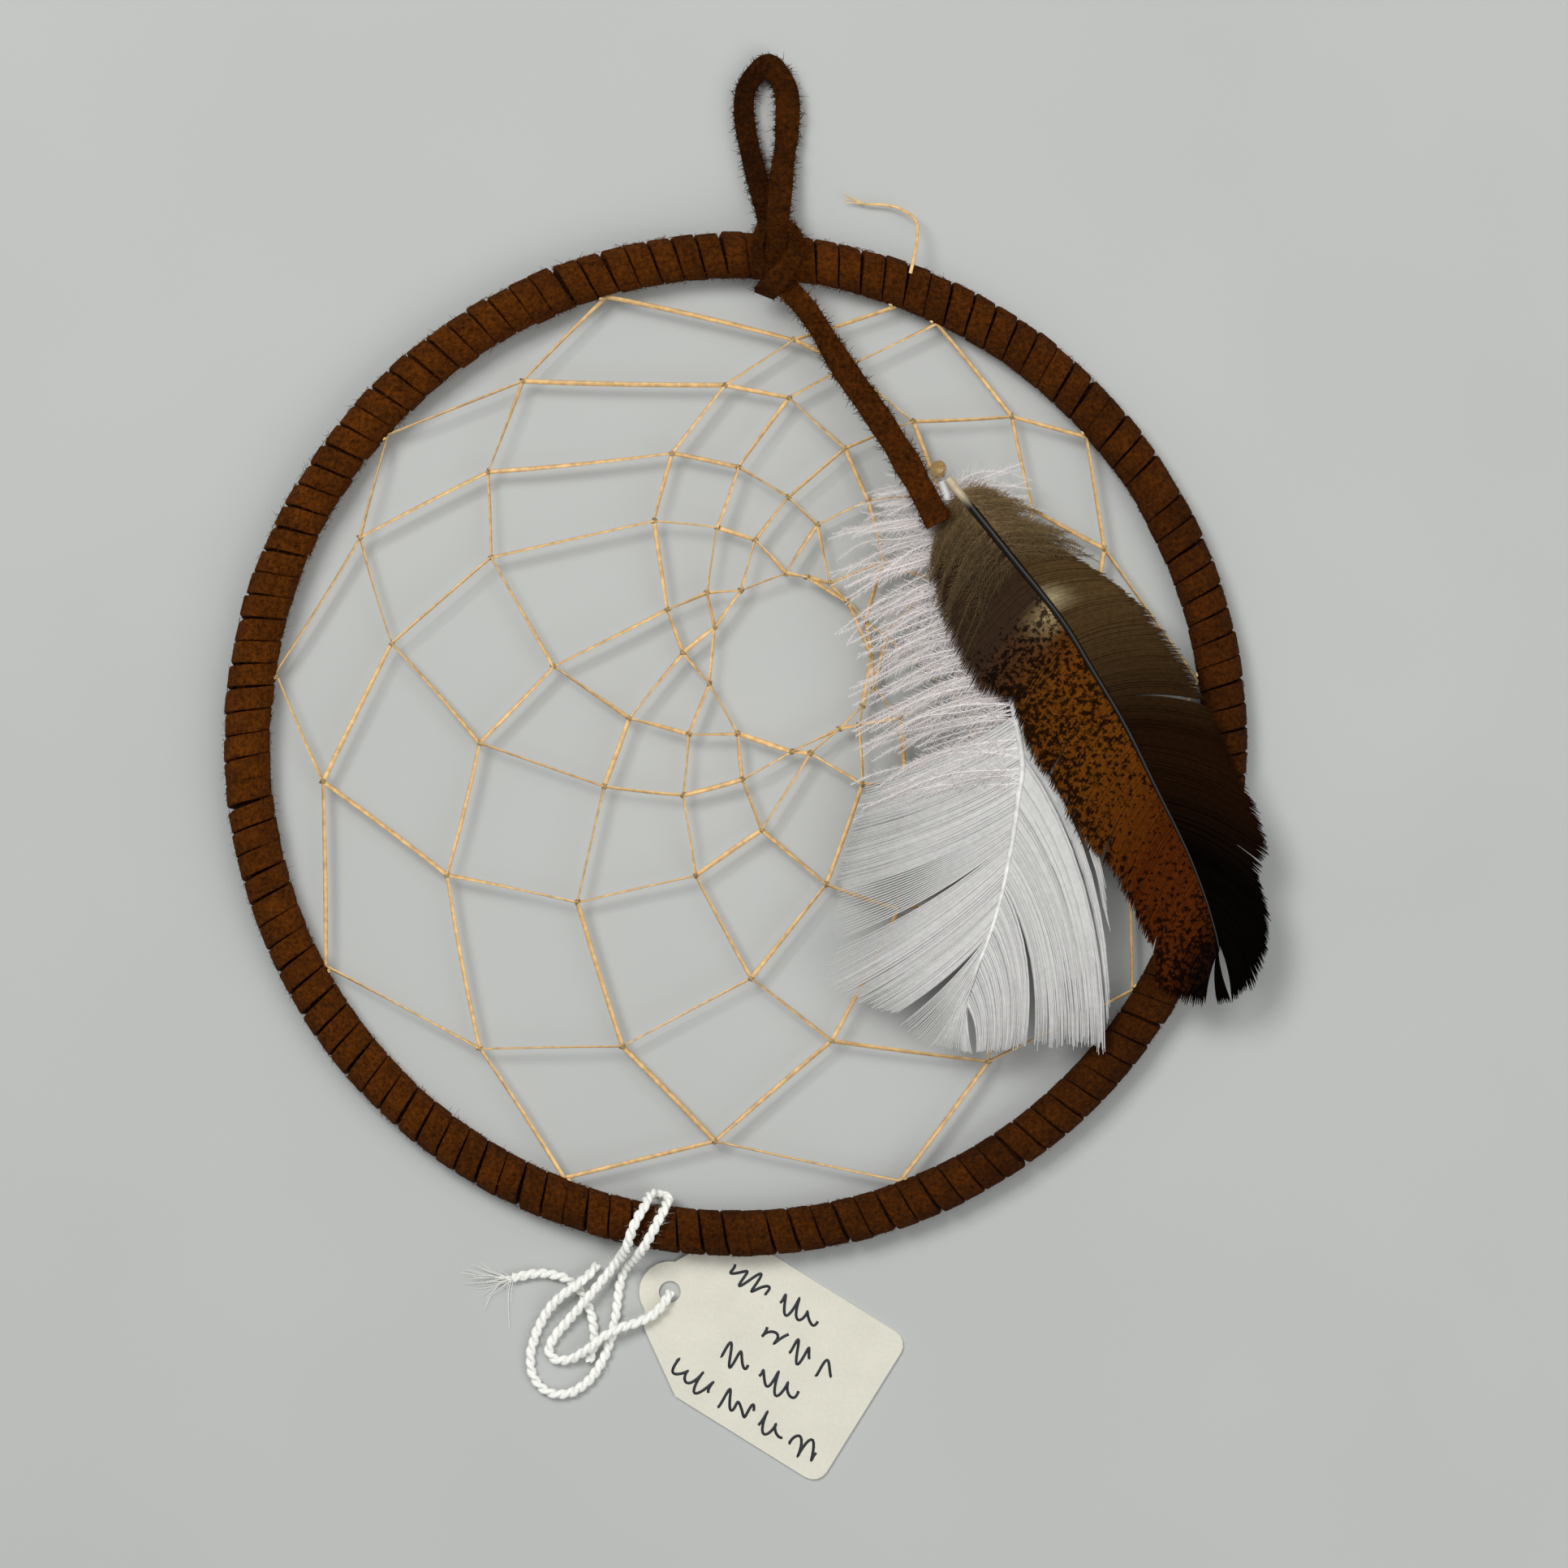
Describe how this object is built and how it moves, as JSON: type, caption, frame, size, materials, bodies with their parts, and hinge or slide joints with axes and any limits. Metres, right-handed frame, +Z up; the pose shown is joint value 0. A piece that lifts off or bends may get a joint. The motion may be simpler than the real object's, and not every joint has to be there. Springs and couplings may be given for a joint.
{
  "type": "dream catcher",
  "caption": "Suede-wound hoop with a hitched sinew web and open eye, a lace hanging loop, a pendant lace with a white and a brown feather, and a card tag on a cotton string.",
  "frame": {"origin": "on the surface that the piece lies on, under the middle of its outline, the tag and its string left out", "axes": "+Z up, out of the face of the web; +Y from the hoop's middle towards the hanging loop; +X to the side of the feathers"},
  "size_m": [0.1318, 0.1809, 0.0104],
  "materials": {
    "hoop_wire": "drawn wire",
    "suede": "napped tan suede",
    "sinew": "waxed flat thread",
    "glue": "clear amber bead",
    "white_quill": "translucent keratin",
    "white_barbs": "zipped feather barbs",
    "white_down": "loose down",
    "dark_quill": "glossy dark keratin",
    "tan_barbs": "speckled feather barbs",
    "dark_barbs": "dark feather barbs",
    "brown_down": "loose down",
    "card": "uncoated cream card",
    "cotton": "two-ply twisted cotton"
  },
  "bodies": {
    "hoop": {"ring_core": "hoop_wire", "hoop_wrap": "suede", "web_thread": "sinew", "thread_tail": "sinew", "knot_band": "suede", "knot_cross_strap": "suede"},
    "loop": {"hanger_loop": "suede"},
    "pendant": {"pendant_lace": "suede", "feather_tie": "glue"},
    "white_feather": {"white_quill": "white_quill", "white_down_left": "white_down", "white_down_right": "white_down", "white_vane_left": "white_barbs", "white_vane_right": "white_barbs"},
    "brown_feather": {"brown_quill": "dark_quill", "brown_down_left": "brown_down", "brown_down_right": "brown_down", "brown_vane_left": "tan_barbs", "brown_vane_right": "dark_barbs"},
    "string": {"tag_string": "cotton", "tag_string_end": "cotton"},
    "tag": {"tag_card": "card"}
  },
  "joints": [
    {"name": "loop_tilt", "type": "hinge", "parent": "hoop", "child": "loop", "pos_m": [0.00345, 0.05638, 0.0025], "axis": [1, 0, 0], "range_deg": [-70, 75]},
    {"name": "pendant_swing", "type": "hinge", "parent": "hoop", "child": "pendant", "pos_m": [0.00615, 0.04518, 0.0069], "axis": [0, 0, 1], "range_deg": [-12, 12]},
    {"name": "white_feather_swing", "type": "hinge", "parent": "pendant", "child": "white_feather", "pos_m": [0.02445, 0.02308, 0.0073], "axis": [0, 0, 1], "range_deg": [-8, 8]},
    {"name": "brown_feather_swing", "type": "hinge", "parent": "pendant", "child": "brown_feather", "pos_m": [0.02445, 0.02308, 0.0089], "axis": [0, 0, 1], "range_deg": [-8, 8]},
    {"name": "string_swing", "type": "hinge", "parent": "hoop", "child": "string", "pos_m": [-0.01309, -0.07224, 0.0028], "axis": [0.981, -0.1942, 0], "range_deg": [-90, 15]},
    {"name": "tag_turn", "type": "hinge", "parent": "string", "child": "tag", "pos_m": [-0.00945, -0.08092, 0.0002], "axis": [0, 0, 1], "range_deg": [-25, 0]}
  ]
}
